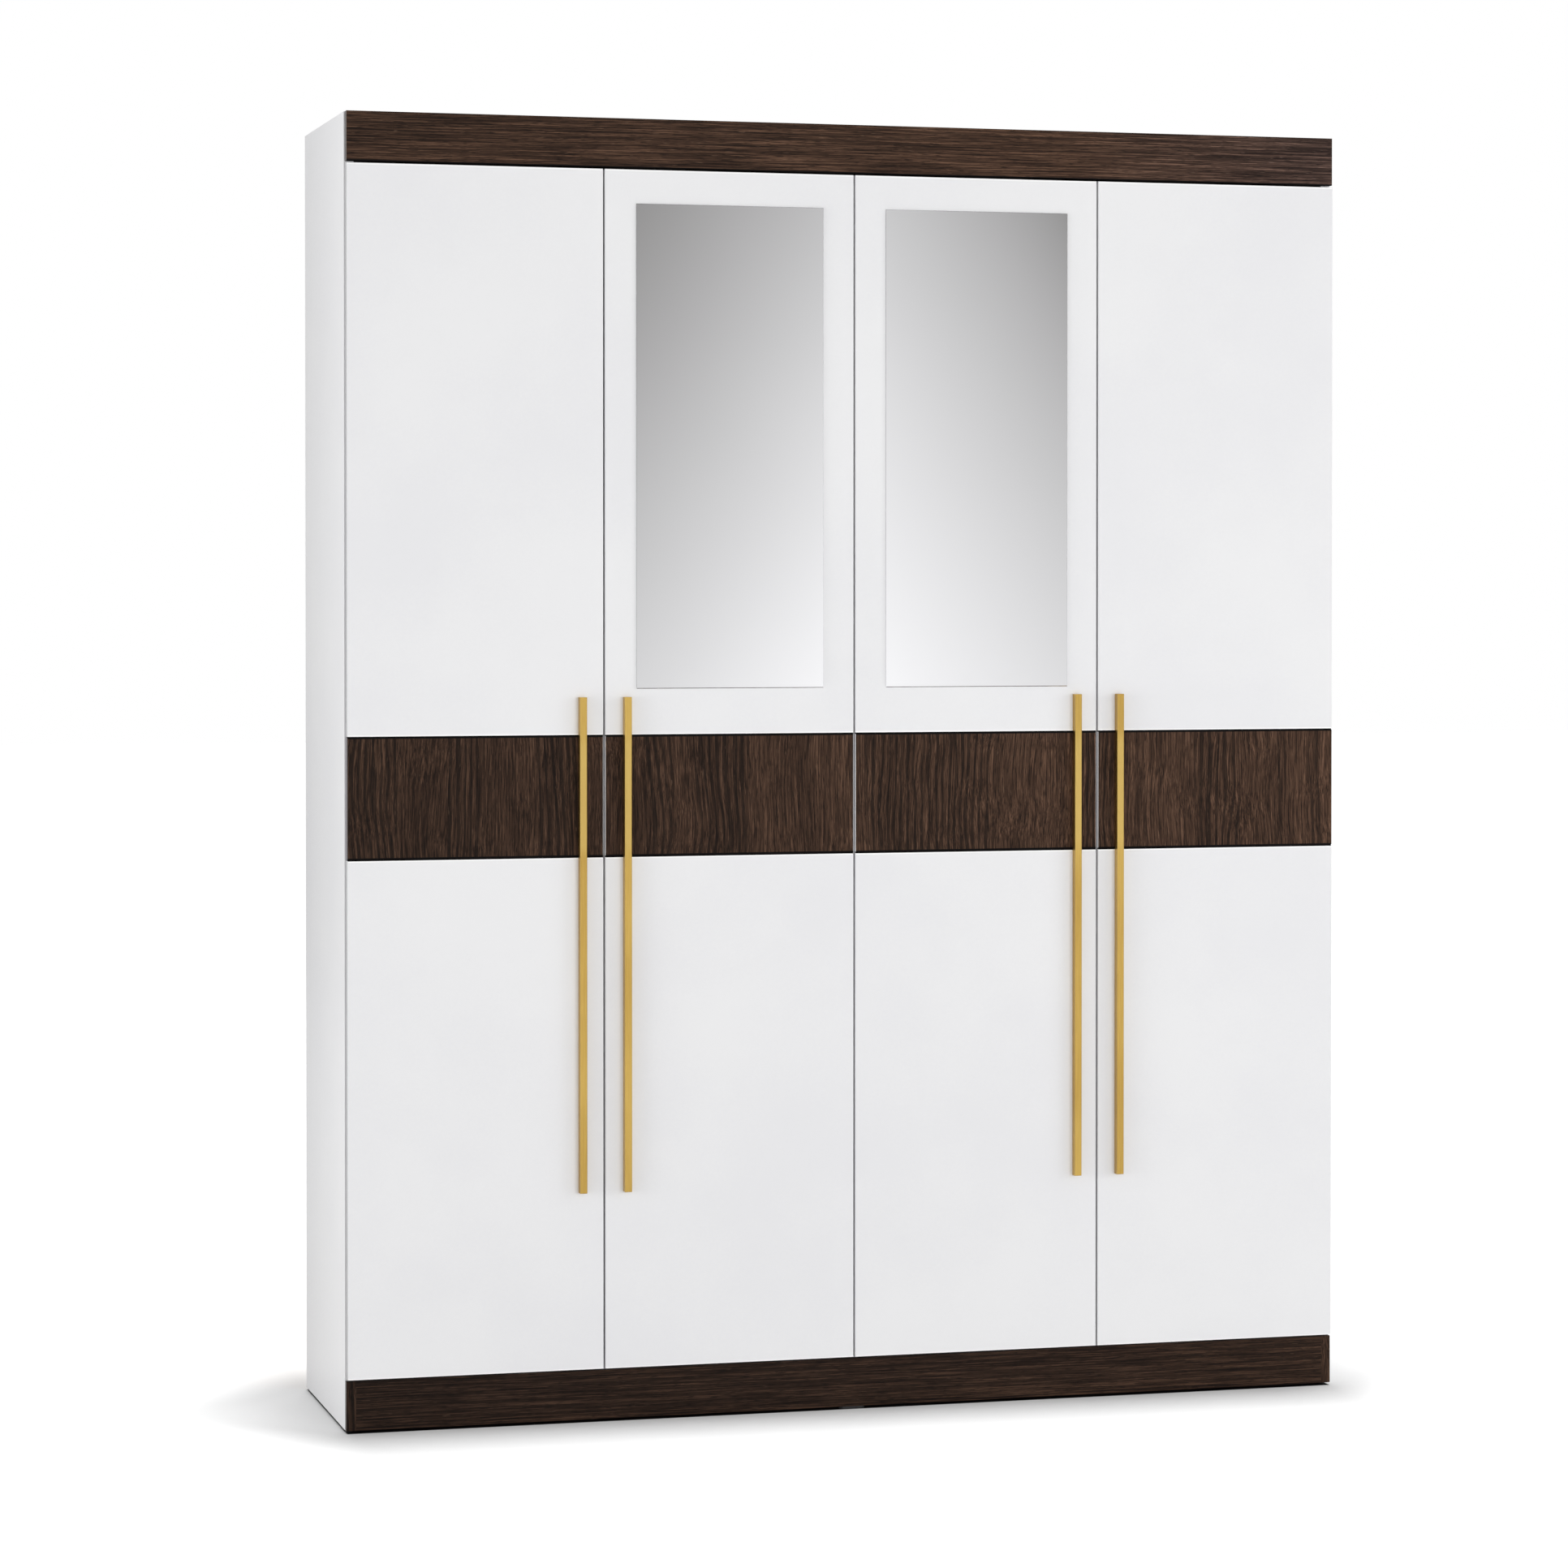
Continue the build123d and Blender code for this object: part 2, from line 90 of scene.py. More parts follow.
# 0-255 screen values to the linear colour a socket takes
def srgb(red, green, blue):
    def linear(value):
        value /= 255
        return value / 12.92 if value <= 0.04045 else ((value + 0.055) / 1.055) ** 2.4
    return (linear(red), linear(green), linear(blue), 1)


def newFinish(name):
    finish = bpy.data.materials.new(name)
    finish.use_nodes = True
    tree = finish.node_tree
    return finish, tree, tree.nodes["Principled BSDF"]


def feed(tree, socket, value):
    if isinstance(value, bpy.types.NodeSocket):
        tree.links.new(value, socket)
    else:
        socket.default_value = value


def put(tree, kind, inputs=None, **settings):
    node = tree.nodes.new(kind)
    for key, value in settings.items():
        setattr(node, key, value)
    for key, value in (inputs or {}).items():
        feed(tree, node.inputs[key], value)
    return node


def sums(tree, operation, *values):
    inputs = dict(enumerate(values))
    return put(tree, "ShaderNodeMath", inputs, operation=operation).outputs[0]


def clamped(tree, value, low, high, toLow=0.0, toHigh=1.0, smooth=True):
    kind = "SMOOTHSTEP" if smooth else "LINEAR"
    inputs = {"Value": value, "From Min": low, "From Max": high, "To Min": toLow, "To Max": toHigh}
    return put(tree, "ShaderNodeMapRange", inputs, interpolation_type=kind).outputs[0]


def mixed(tree, amount, first, second, kind="MIX"):
    node = put(tree, "ShaderNodeMix", data_type="RGBA", blend_type=kind)
    feed(tree, node.inputs[0], amount)
    feed(tree, node.inputs[6], first)
    feed(tree, node.inputs[7], second)
    return node.outputs[2]


def ramp(tree, value, stops):
    node = put(tree, "ShaderNodeValToRGB", {"Fac": value})
    points = node.color_ramp.elements
    while len(points) < len(stops):
        points.new(0.5)
    for point, (place, colour) in zip(points, stops):
        point.position = place
        point.color = colour
    return node.outputs["Color"]


def stretched(tree, place, scale):
    return put(tree, "ShaderNodeMapping", {"Vector": place, "Scale": scale}).outputs[0]


def objectPlace(tree, scale=(1, 1, 1)):
    return stretched(tree, put(tree, "ShaderNodeTexCoord").outputs["Object"], scale)


def cloud(tree, place, scale, detail=2.0, roughness=0.5, distortion=0.0):
    inputs = {"Vector": place, "Scale": scale, "Detail": detail,
              "Roughness": roughness, "Distortion": distortion}
    return put(tree, "ShaderNodeTexNoise", inputs).outputs["Fac"]


def bumped(tree, bsdf, height, strength, distance):
    inputs = {"Height": height, "Strength": strength, "Distance": distance}
    feed(tree, bsdf.inputs["Normal"], put(tree, "ShaderNodeBump", inputs).outputs[0])


def axisOf(tree, place, axis):
    return put(tree, "ShaderNodeSeparateXYZ", {"Vector": place}).outputs[axis]


# a scale that draws a pattern out along one axis
def onAxis(axis, drawn):
    return tuple(drawn if axis == name else 1.0 for name in "XYZ")


# 1 inside low..high on an axis, 0 outside
def window(tree, value, low, high):
    return sums(tree, "COMPARE", value, (low + high) / 2, (high - low) / 2)


laminate = {
    "light": srgb(239, 239, 240),
    "dark": srgb(235, 235, 237),
    "paintedHighlight": srgb(254, 254, 254),     # painted highlight where light would catch an eased edge
    "paintedHighlightWidth": 0.0022,
    "shade": srgb(6, 5, 5),
    "cloudScale": 3.2,
    "cloudNoise": (3, 0.55),
    "speckScale": 260,
    "speckShare": 0.2,
    "rough": (0.30, 0.40),
    "sheen": 0.42,
    "pearl": (900, 0.06, 0.0002),
}


# white melamine face: faint clouding and a fine pearl texture; lines are painted highlights along edges on
# Z, bands are (axis, low, high, colour) stripes, shades are (axis, low, high) stretches of painted shade,
# paintedShadeFade is (axis, start, end, factor at start), a painted shade gradient
def whiteLaminate(name, lines=(), bands=(), shades=(), paintedShadeFade=None):
    finish, tree, bsdf = newFinish(name)
    place = objectPlace(tree)
    clouding = cloud(tree, place, laminate["cloudScale"], *laminate["cloudNoise"])
    specks = cloud(tree, place, laminate["speckScale"], *fine)
    tone = mixed(tree, laminate["speckShare"], clouding, specks)
    colour = mixed(tree, clamped(tree, tone, *toneSpan), laminate["dark"], laminate["light"])
    # painted highlight lines along edges on Z
    for middle in lines:
        near = window(tree, axisOf(tree, place, "Z"), middle - laminate["paintedHighlightWidth"] / 2,
                      middle + laminate["paintedHighlightWidth"] / 2)
        colour = mixed(tree, near, colour, laminate["paintedHighlight"])
    # painted shade: darker towards one end of an axis
    if paintedShadeFade:
        axis, start, end, factor = paintedShadeFade
        level = clamped(tree, axisOf(tree, place, axis), start, end, factor, 1, False)
        colour = mixed(tree, 1.0, colour, level, "MULTIPLY")
    for axis, low, high, paint in bands:
        colour = mixed(tree, window(tree, axisOf(tree, place, axis), low, high), colour, paint)
    sheen = laminate["sheen"]
    # painted shade: these stretches go dark and lose their sheen
    for axis, low, high in shades:
        inside = window(tree, axisOf(tree, place, axis), low, high)
        colour = mixed(tree, inside, colour, laminate["shade"])
        sheen = sums(tree, "MULTIPLY", sums(tree, "SUBTRACT", 1.0, inside), sheen)
    feed(tree, bsdf.inputs["Base Color"], colour)
    feed(tree, bsdf.inputs["Roughness"], clamped(tree, specks, *noiseSpan, *laminate["rough"]))
    feed(tree, bsdf.inputs["Specular IOR Level"], sheen)
    scale, strength, depth = laminate["pearl"]
    bumped(tree, bsdf, cloud(tree, place, scale), strength, depth)
    return finish


wenge = {
    "tones": (srgb(28, 18, 13), srgb(46, 32, 24), srgb(60, 43, 33), srgb(88, 65, 51)),
    "stops": {"X": (0.415, 0.470, 0.530, 0.610), "Z": (0.410, 0.465, 0.530, 0.630)},
    "shade": srgb(8, 5, 4),
    "pore": srgb(12, 7, 5),
    "fleck": srgb(128, 102, 84),
    # scale and share of each streak, and how much slower they change along the grain
    "streaks": {"X": ((18, 0.04), (150, 0.08), (430, 0.44), (900, 0.44)),
                "Z": ((18, 0.11), (110, 0.13), (420, 0.38), (850, 0.38))},
    "drawn": {"X": 0.013, "Z": 0.020},
    "swayScale": 6,
    "swayDrawn": 0.6,
    "sway": {"X": 0.004, "Z": 0.038},
    "clusters": (13, 0.49, 0.55),             # scale, from, to
    "lines": (56, 3.5, 1.4, 0.45, 0.85),      # scale, bend, size of the bends, from, to
    "lineStrength": {"X": 0.28, "Z": 0.66},
    "markDetail": 1,
    "pores": (1100, 0.05, 0.54, 0.65, 0.68),  # scale, drawn, from, to, strength
    "flecks": (680, 0.07, 0.68, 0.78, 0.22),
    "litRightwards": {"X": (0.70, 1.12), "Z": (0.88, 1.44)},
    "litUpwards": (0.74, 1.67),                  # painted light: lighter to the right and to the top
    "rough": (0.64, 0.50),
    "sheen": 0.12,
    "relief": (0.25, 0.0004),
    "paintedSheen": (0.97, 1.09, 1.38, 1),
    "paintedSheenFrom": 0.35,                         # on X, where the cornice's painted grey sheen starts
}


# a dark open-pored veneer along one axis: its place, swayed place, drawn-out grain and tone
def grainTone(tree, along):
    place = objectPlace(tree)
    slow = stretched(tree, place, onAxis(along, wenge["swayDrawn"]))
    swayNoise = put(tree, "ShaderNodeTexNoise", {"Vector": slow, "Scale": wenge["swayScale"]})
    centred = put(tree, "ShaderNodeVectorMath", {0: swayNoise.outputs["Color"], 1: (noiseMiddle,) * 3},
                  operation="SUBTRACT").outputs[0]
    moved = put(tree, "ShaderNodeVectorMath", {0: centred, 1: (wenge["sway"][along],) * 3, 2: place},
                operation="MULTIPLY_ADD").outputs[0]
    grain = stretched(tree, moved, onAxis(along, wenge["drawn"][along]))
    tone = 0.0
    for scale, share in wenge["streaks"][along]:
        tone = sums(tree, "MULTIPLY_ADD", cloud(tree, grain, scale, *fine), share, tone)
    return place, moved, grain, tone


# shaded is the (low, high) stretches on Z that stay in painted shade; paintedSheenOn paints a grey sheen
# towards the right
def wengeVeneer(name, along, shaded=(), paintedSheenOn=False):
    finish, tree, bsdf = newFinish(name)
    place, moved, grain, tone = grainTone(tree, along)
    colour = ramp(tree, tone, list(zip(wenge["stops"][along], wenge["tones"])))
    scale, low, high = wenge["clusters"]
    gathered = clamped(tree, cloud(tree, grain, scale, wenge["markDetail"]), low, high)
    scale, bend, bendScale, low, high = wenge["lines"]
    inputs = {"Vector": grain, "Scale": scale, "Distortion": bend, "Detail Scale": bendScale}
    lines = put(tree, "ShaderNodeTexWave", inputs, bands_direction="DIAGONAL").outputs["Fac"]
    drawnLine = sums(tree, "MULTIPLY", clamped(tree, lines, low, high), gathered)
    drawnLine = sums(tree, "MULTIPLY", drawnLine, wenge["lineStrength"][along])
    colour = mixed(tree, drawnLine, colour, wenge["pore"])
    marks = []
    for mark in ("pores", "flecks"):
        scale, drawn, low, high, strength = wenge[mark]
        spots = cloud(tree, stretched(tree, moved, onAxis(along, drawn)), scale, wenge["markDetail"])
        marks.append(sums(tree, "MULTIPLY", clamped(tree, spots, low, high), strength))
    colour = mixed(tree, marks[0], colour, wenge["pore"])
    colour = mixed(tree, marks[1], colour, wenge["fleck"])
    # painted light: the veneer lighter to the right and to the top
    for axis, number, factors in (("X", 0, wenge["litRightwards"][along]), ("Z", 2, wenge["litUpwards"])):
        ends = (cadBox[0][number], cadBox[1][number])
        litRise = clamped(tree, axisOf(tree, place, axis), *ends, *factors, smooth=False)
        colour = mixed(tree, 1.0, colour, litRise, "MULTIPLY")
    # painted sheen: greyer towards the right
    if paintedSheenOn:
        amount = clamped(tree, axisOf(tree, place, "X"), wenge["paintedSheenFrom"], cadBox[1][0], smooth=False)
        colour = mixed(tree, amount, colour, mixed(tree, 1.0, colour, wenge["paintedSheen"], "MULTIPLY"))
    # painted shade on the shaded stretches
    for low, high in shaded:
        colour = mixed(tree, window(tree, axisOf(tree, place, "Z"), low, high), colour, wenge["shade"])
    feed(tree, bsdf.inputs["Base Color"], colour)
    feed(tree, bsdf.inputs["Roughness"], clamped(tree, tone, *toneSpan, *wenge["rough"]))
    bsdf.inputs["Specular IOR Level"].default_value = wenge["sheen"]
    bumped(tree, bsdf, sums(tree, "MULTIPLY_ADD", marks[0], -1.0, tone), *wenge["relief"])
    return finish


wengeEdge = {"dark": srgb(40, 30, 27), "light": srgb(64, 52, 48), "toneSpan": (0.42, 0.58),
             "roughSpan": (0.4, 0.6), "rough": (0.28, 0.36), "sheen": 0.5}


# plastic edging on the ends of the wood pieces: the same brown, smoother
def wengeEdging():
    finish, tree, bsdf = newFinish("wengeEdging")
    *_, tone = grainTone(tree, "Z")
    colour = mixed(tree, clamped(tree, tone, *wengeEdge["toneSpan"]), wengeEdge["dark"], wengeEdge["light"])
    feed(tree, bsdf.inputs["Base Color"], colour)
    rough = clamped(tree, tone, *wengeEdge["roughSpan"], *wengeEdge["rough"])
    feed(tree, bsdf.inputs["Roughness"], rough)
    bsdf.inputs["Specular IOR Level"].default_value = wengeEdge["sheen"]
    return finish


goldBar = {
    "deep": srgb(189, 153, 79),
    "light": srgb(210, 176, 97),
    "paintedGlint": srgb(212, 182, 108),
    "paintedGlintReach": 0.10,       # from the middle of the band
    "paintedGlintFull": 0.07,
    "paintedGlintShare": 0.6,
    "brush": 1800,
    "drawn": 0.012,
    "drift": 5,
    "driftShare": 0.5,
    "rough": (0.28, 0.40),
    "relief": (0.12, 0.0002),
}


# satin gold, brushed along the bar; a painted highlight makes it a little lighter across the dark band
def goldAnodised(glintHeight):
    finish, tree, bsdf = newFinish("goldAnodised")
    place = objectPlace(tree)
    brushed = cloud(tree, objectPlace(tree, onAxis("Z", goldBar["drawn"])), goldBar["brush"], *cloudy)
    tone = mixed(tree, goldBar["driftShare"], brushed, cloud(tree, place, goldBar["drift"]))
    colour = mixed(tree, clamped(tree, tone, *toneSpan), goldBar["deep"], goldBar["light"])
    # painted highlight across the dark band
    off = sums(tree, "ABSOLUTE", sums(tree, "SUBTRACT", axisOf(tree, place, "Z"), glintHeight))
    paintedGlint = clamped(tree, off, goldBar["paintedGlintReach"], goldBar["paintedGlintFull"], 0, goldBar["paintedGlintShare"])
    feed(tree, bsdf.inputs["Base Color"], mixed(tree, paintedGlint, colour, goldBar["paintedGlint"]))
    bsdf.inputs["Metallic"].default_value = 1
    feed(tree, bsdf.inputs["Roughness"], clamped(tree, brushed, *noiseSpan, *goldBar["rough"]))
    bumped(tree, bsdf, brushed, *goldBar["relief"])
    return finish


paintedReflection = {
    "dark": srgb(150, 149, 149),
    "light": srgb(248, 248, 250),
    "acrossShare": 0.38,
    "bow": {2: 1.10, 3: 0.85},     # by door; above 1 the dark reaches further
    "waver": (2.2, 0.06),
    "dust": 40,
    "dustSpan": (0.3, 0.8),
    "rough": (0.03, 0.07),
}


# silvered glass; a soft painted reflection of the room runs from an upper corner to the opposite foot
def mirrorGlass(door, darkEnd):
    low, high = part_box(f"door_{door}_mirror")
    finish, tree, bsdf = newFinish(f"mirrorGlass{door}")
    place = objectPlace(tree)
    across = clamped(tree, axisOf(tree, place, "X"), low.x, high.x, smooth=False)
    if darkEnd > 0:
        across = sums(tree, "SUBTRACT", 1.0, across)
    down = clamped(tree, axisOf(tree, place, "Z"), high.z, low.z, smooth=False)
    slant = mixed(tree, paintedReflection["acrossShare"], down, across)
    scale, amount = paintedReflection["waver"]
    waver = sums(tree, "SUBTRACT", cloud(tree, place, scale), noiseMiddle)
    slant = sums(tree, "MULTIPLY_ADD", waver, amount, slant)
    slant = sums(tree, "POWER", clamped(tree, slant, 0, 1, smooth=False), paintedReflection["bow"][door])
    colour = mixed(tree, slant, paintedReflection["dark"], paintedReflection["light"])
    feed(tree, bsdf.inputs["Base Color"], colour)
    bsdf.inputs["Metallic"].default_value = 1
    dust = clamped(tree, cloud(tree, place, paintedReflection["dust"], *cloudy), *paintedReflection["dustSpan"],
                   *paintedReflection["rough"])
    feed(tree, bsdf.inputs["Roughness"], dust)
    return finish


# soft cloud between two tones, which also drives the roughness
def mottled(look, scale):
    finish, tree, bsdf = newFinish(look["name"])
    tone = cloud(tree, objectPlace(tree), scale, *cloudy)
    colour = mixed(tree, clamped(tree, tone, *noiseSpan), look["dark"], look["light"])
    feed(tree, bsdf.inputs["Base Color"], colour)
    feed(tree, bsdf.inputs["Roughness"], clamped(tree, tone, *noiseSpan, *look["rough"]))
    return finish, bsdf


steel = {"dark": srgb(176, 175, 172), "light": srgb(194, 193, 190), "rough": (0.26, 0.36), "along": "Z"}
chromed = {"dark": srgb(206, 208, 210), "light": srgb(226, 228, 230), "rough": (0.10, 0.20), "along": "Y"}
metal = {"brush": 1400, "drawn": 0.02, "cast": 60, "castShare": 0.6, "relief": (0.08, 0.0002)}


# plated metal, brushed faintly along one axis
def metalFinish(name, look):
    finish, tree, bsdf = newFinish(name)
    brushed = cloud(tree, objectPlace(tree, onAxis(look["along"], metal["drawn"])), metal["brush"], *fine)
    tone = mixed(tree, metal["castShare"], brushed, cloud(tree, objectPlace(tree), metal["cast"]))
    colour = mixed(tree, clamped(tree, tone, *toneSpan), look["dark"], look["light"])
    feed(tree, bsdf.inputs["Base Color"], colour)
    bsdf.inputs["Metallic"].default_value = 1
    feed(tree, bsdf.inputs["Roughness"], clamped(tree, tone, *noiseSpan, *look["rough"]))
    bumped(tree, bsdf, brushed, *metal["relief"])
    return finish


blackPlastic = {"name": "glideBlack", "dark": srgb(20, 20, 21), "light": srgb(32, 32, 33),
                "rough": (0.45, 0.58)}
whitePlastic = {"name": "supportWhite", "dark": srgb(222, 223, 222), "light": srgb(234, 235, 234),
                "rough": (0.33, 0.46)}
plastic = {"cloud": 90, "pitting": 1500, "relief": (0.15, 0.0002)}


def plasticFinish(look):
    finish, bsdf = mottled(look, plastic["cloud"])
    tree = finish.node_tree
    bumped(tree, bsdf, cloud(tree, objectPlace(tree), plastic["pitting"], *fine), *plastic["relief"])
    return finish


softPad = {"name": "softPad", "dark": srgb(214, 216, 216), "light": srgb(232, 233, 232),
           "rough": (0.35, 0.50), "cloud": 160, "clear": 0.55}


def padFinish():
    finish, bsdf = mottled(softPad, softPad["cloud"])
    bsdf.inputs["Transmission Weight"].default_value = softPad["clear"]
    return finish


chipped = {
    "scale": 420,
    "stops": ((0.0, srgb(134, 104, 72)), (0.4, srgb(172, 140, 100)),
              (0.7, srgb(192, 162, 120)), (1.0, srgb(214, 188, 148))),
    "gap": srgb(104, 78, 52),
    "gapSpan": (0.5, 0.8),
    "gapShare": 0.5,
    "rough": (0.78, 0.92),
    "relief": (0.5, 0.0006),
}


# unbanded board edge: pressed chips of several browns
def rawChipboard():
    finish, tree, bsdf = newFinish("rawChipboard")
    chips = put(tree, "ShaderNodeTexVoronoi", {"Vector": objectPlace(tree), "Scale": chipped["scale"]})
    chipTone = axisOf(tree, chips.outputs["Color"], "X")
    gaps = clamped(tree, chips.outputs["Distance"], *chipped["gapSpan"])
    gaps = sums(tree, "MULTIPLY", gaps, chipped["gapShare"])
    colour = mixed(tree, gaps, ramp(tree, chipTone, chipped["stops"]), chipped["gap"])
    feed(tree, bsdf.inputs["Base Color"], colour)
    feed(tree, bsdf.inputs["Roughness"], clamped(tree, chipTone, 0, 1, *chipped["rough"]))
    bumped(tree, bsdf, chips.outputs["Distance"], *chipped["relief"])
    return finish


felted = {
    "fibre": 330,
    "fibreNoise": (4, 0.7, 1.2),
    "drift": 4,
    "driftShare": 0.16,
    "stops": ((0.32, srgb(128, 94, 64)), (0.5, srgb(152, 116, 82)), (0.68, srgb(174, 138, 100))),
    "rough": (0.70, 0.85),
    "relief": (0.3, 0.0004),
}


# brown outside of the thin back sheets: fine felted fibres
def hardboard():
    finish, tree, bsdf = newFinish("hardboard")
    place = objectPlace(tree)
    fibres = cloud(tree, place, felted["fibre"], *felted["fibreNoise"])
    tone = mixed(tree, felted["driftShare"], fibres, cloud(tree, place, felted["drift"], *cloudy))
    feed(tree, bsdf.inputs["Base Color"], ramp(tree, tone, felted["stops"]))
    feed(tree, bsdf.inputs["Roughness"], clamped(tree, fibres, *noiseSpan, *felted["rough"]))
    bumped(tree, bsdf, fibres, *felted["relief"])
    return finish


# black painted shade for the door recesses and the gap under the cornice
grooveShadeBlack = {"name": "grooveShadeBlack", "dark": srgb(6, 5, 5), "light": srgb(16, 14, 13),
               "rough": (0.60, 0.75), "cloud": 300, "sheen": 0.15}


def grooveShadeFinish():
    finish, bsdf = mottled(grooveShadeBlack, grooveShadeBlack["cloud"])
    bsdf.inputs["Specular IOR Level"].default_value = grooveShadeBlack["sheen"]
    return finish


# gives a node its finishes; choose picks one by a face's middle and normal
def dress(name, *finishes, choose=None):
    mesh = nodes[name].data
    mesh.materials.clear()
    for finish in finishes:
        mesh.materials.append(finish)
    for face in mesh.polygons:
        face.material_index = choose(face.center, face.normal) if choose else 0


def rearEdge(middle, normal):
    return int(normal.y > square)


def levelEdge(middle, normal):
    return int(abs(normal.z) > square)


def endEdge(middle, normal):
    return int(abs(normal.x) > square)


addCamera(cameraSetup)

front = {
    "groove": 0.002,           # open groove above and below a band panel
    "recess": 0.003,
    "grooveShadeWidth": 0.0017,       # painted shade along a band panel's grooves and the cornice's lower edge
    "topShade": 0.0006,        # the cornice's shade on a door's upper edge
    "lipShade": 0.0006,        # and on the lip under a band panel
    # painted shade on the free outer edge of the end doors; bandEdge is that edge's dark stretch across the
    # band, with a painted grey sheen
    "outerEdge": srgb(188, 188, 190),
    "bandEdge": srgb(104, 97, 104),
    "shadowGap": (-0.0035, 0.0025),      # painted shadow on the rail, round the underside of the cornice
    "sidePaintedShade": 0.79,
    "doorPaintedShade": 0.975,
}
bandLow, bandHigh = (corner.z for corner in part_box("door_1_band_panel"))
doorLow, doorHigh = (corner.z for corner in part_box("door_1_board"))
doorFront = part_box("door_1_board")[0].y
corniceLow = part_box("cornice_board")[0].z
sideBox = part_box("left_side_panel")
cutLow, cutHigh = bandLow - front["groove"], bandHigh + front["groove"]
paintedHighlightHalf = laminate["paintedHighlightWidth"] / 2

white = whiteLaminate("whiteLaminate")
# painted shade: the sides darker towards the back
sideWhite = whiteLaminate("sideLaminate", paintedShadeFade=("Y", sideBox[1].y, sideBox[0].y, front["sidePaintedShade"]))
shadeLow = doorHigh - front["topShade"]
lipLow = cutLow - front["lipShade"]
# painted shade: the doors a little darker towards the top; the lines and shades are painted highlights and
# shade along their edges
doorWhite = whiteLaminate("doorLaminate", paintedShadeFade=("Z", doorHigh, doorLow, front["doorPaintedShade"]), lines=(
    lipLow - paintedHighlightHalf, cutHigh + paintedHighlightHalf, doorLow + paintedHighlightHalf, shadeLow - paintedHighlightHalf), shades=(
    ("Z", shadeLow, doorHigh), ("Z", lipLow, cutLow)))
# painted shade on the outer edge, and a painted grey sheen on its dark stretch across the band
shadedOuterWhite = whiteLaminate("outerEdgeLaminate", bands=(
    ("Z", doorLow, doorHigh, front["outerEdge"]), ("Z", cutLow, cutHigh, front["bandEdge"])))
grooveShade = grooveShadeFinish()
# the rail's strip under the cornice is painted in shade
railWhite = whiteLaminate("railLaminate", shades=(
    ("Z", corniceLow + front["shadowGap"][0], corniceLow + front["shadowGap"][1]),))
chipboard = rawChipboard()
backBrown = hardboard()
veneerUpright = wengeVeneer("wengeUpright", "Z")
veneerBand = wengeVeneer("wengeBand", "Z", ((bandLow, bandLow + front["grooveShadeWidth"]),
                                            (bandHigh - front["grooveShadeWidth"], bandHigh)))
veneerLevel = wengeVeneer("wengeLevel", "X")
veneerCornice = wengeVeneer("wengeCornice", "X", ((corniceLow, corniceLow + front["grooveShadeWidth"]),), True)
edging = wengeEdging()
gold = goldAnodised((bandLow + bandHigh) / 2)
hingeSteel = metalFinish("hingeSteel", steel)
chrome = metalFinish("railChrome", chromed)
glideBlack = plasticFinish(blackPlastic)
supportWhite = plasticFinish(whitePlastic)
pad = padFinish()
print("finishes mixed")

for side in ("left", "right"):
    dress(f"{side}_side_panel", sideWhite, chipboard, choose=rearEdge)
    dress(f"{side}_front_edge_band", white)
    dress(f"{side}_plinth_end_strip", veneerUpright, edging, choose=endEdge)
    dress(f"{side}_back_sheet", white, backBrown, choose=rearEdge)
for name in ("top_panel", "bottom_panel", "centre_partition", "hat_shelf",
             *(f"right_bay_shelf_{number}" for number in shelves)):
    dress(name, white, chipboard, choose=rearEdge)
dress("rear_plinth_board", white, chipboard, choose=levelEdge)
dress("front_top_rail", railWhite)


# the cornice's slots: 0 veneer, 1 edging, 2 black painted shade under it, over the gap above the doors
def corniceFace(middle, normal):
    return 2 if normal.z < -square else endEdge(middle, normal)


dress("cornice_board", veneerCornice, edging, grooveShade, choose=corniceFace)
dress("plinth_board", veneerLevel, edging, choose=endEdge)


# a door's slots: 0 white, 1 recess in black painted shade, 2 its free outer edge with painted shade, 3 its
# front with painted highlights and shade along its edges
def doorFace(door):
    def choose(middle, normal):
        slack = front["groove"] / 2
        depth = middle.y - doorFront
        floorFace = abs(normal.y) > square and slack < depth < 2 * front["recess"]
        wallFace = abs(normal.z) > square and cutLow - slack < middle.z < cutHigh + slack
        if floorFace or wallFace:
            return 1
        if normal.y < -square:
            return 3
        return 2 if normal.x * outerEdge.get(door, 0) > square else 0
    return choose


# a band panel's slots: 0 veneer, 1 edging at a free outer edge, 2 white edging at the joints
def bandPanelFace(door):
    def choose(middle, normal):
        if abs(normal.x) < square / 2:
            return 0
        return 1 if normal.x * outerEdge.get(door, 0) > 0 else 2
    return choose


for door in doors:
    dress(f"door_{door}_board", white, grooveShade, shadedOuterWhite, doorWhite, choose=doorFace(door))
    dress(f"door_{door}_band_panel", veneerBand, edging, white, choose=bandPanelFace(door))
    dress(f"door_{door}_handle_bar", gold)
    for part in ("hinge_cups", "inner_links", "outer_links"):
        dress(f"door_{door}_{part}", hingeSteel)
for door in middleDoors:
    dress(f"door_{door}_mirror", mirrorGlass(door, hingeHand[door]))
for name in ("hinge_arms", "hinge_plates"):
    dress(name, hingeSteel)
dress("hanging_rail", chrome)
dress("rail_brackets", chrome)
dress("glides", glideBlack)
dress("shelf_supports", supportWhite)
dress("door_bumpers", pad)
print("nodes dressed")


# selects faces by middle and normal, and leaves edit mode on
def pickFaces(thing, wanted):
    bpy.ops.object.mode_set(mode="EDIT")
    bpy.ops.mesh.select_mode(type="FACE")
    bpy.ops.mesh.select_all(action="DESELECT")
    bpy.ops.object.mode_set(mode="OBJECT")
    for face in thing.data.polygons:
        face.select = wanted(face.center, face.normal)
    bpy.ops.object.mode_set(mode="EDIT")


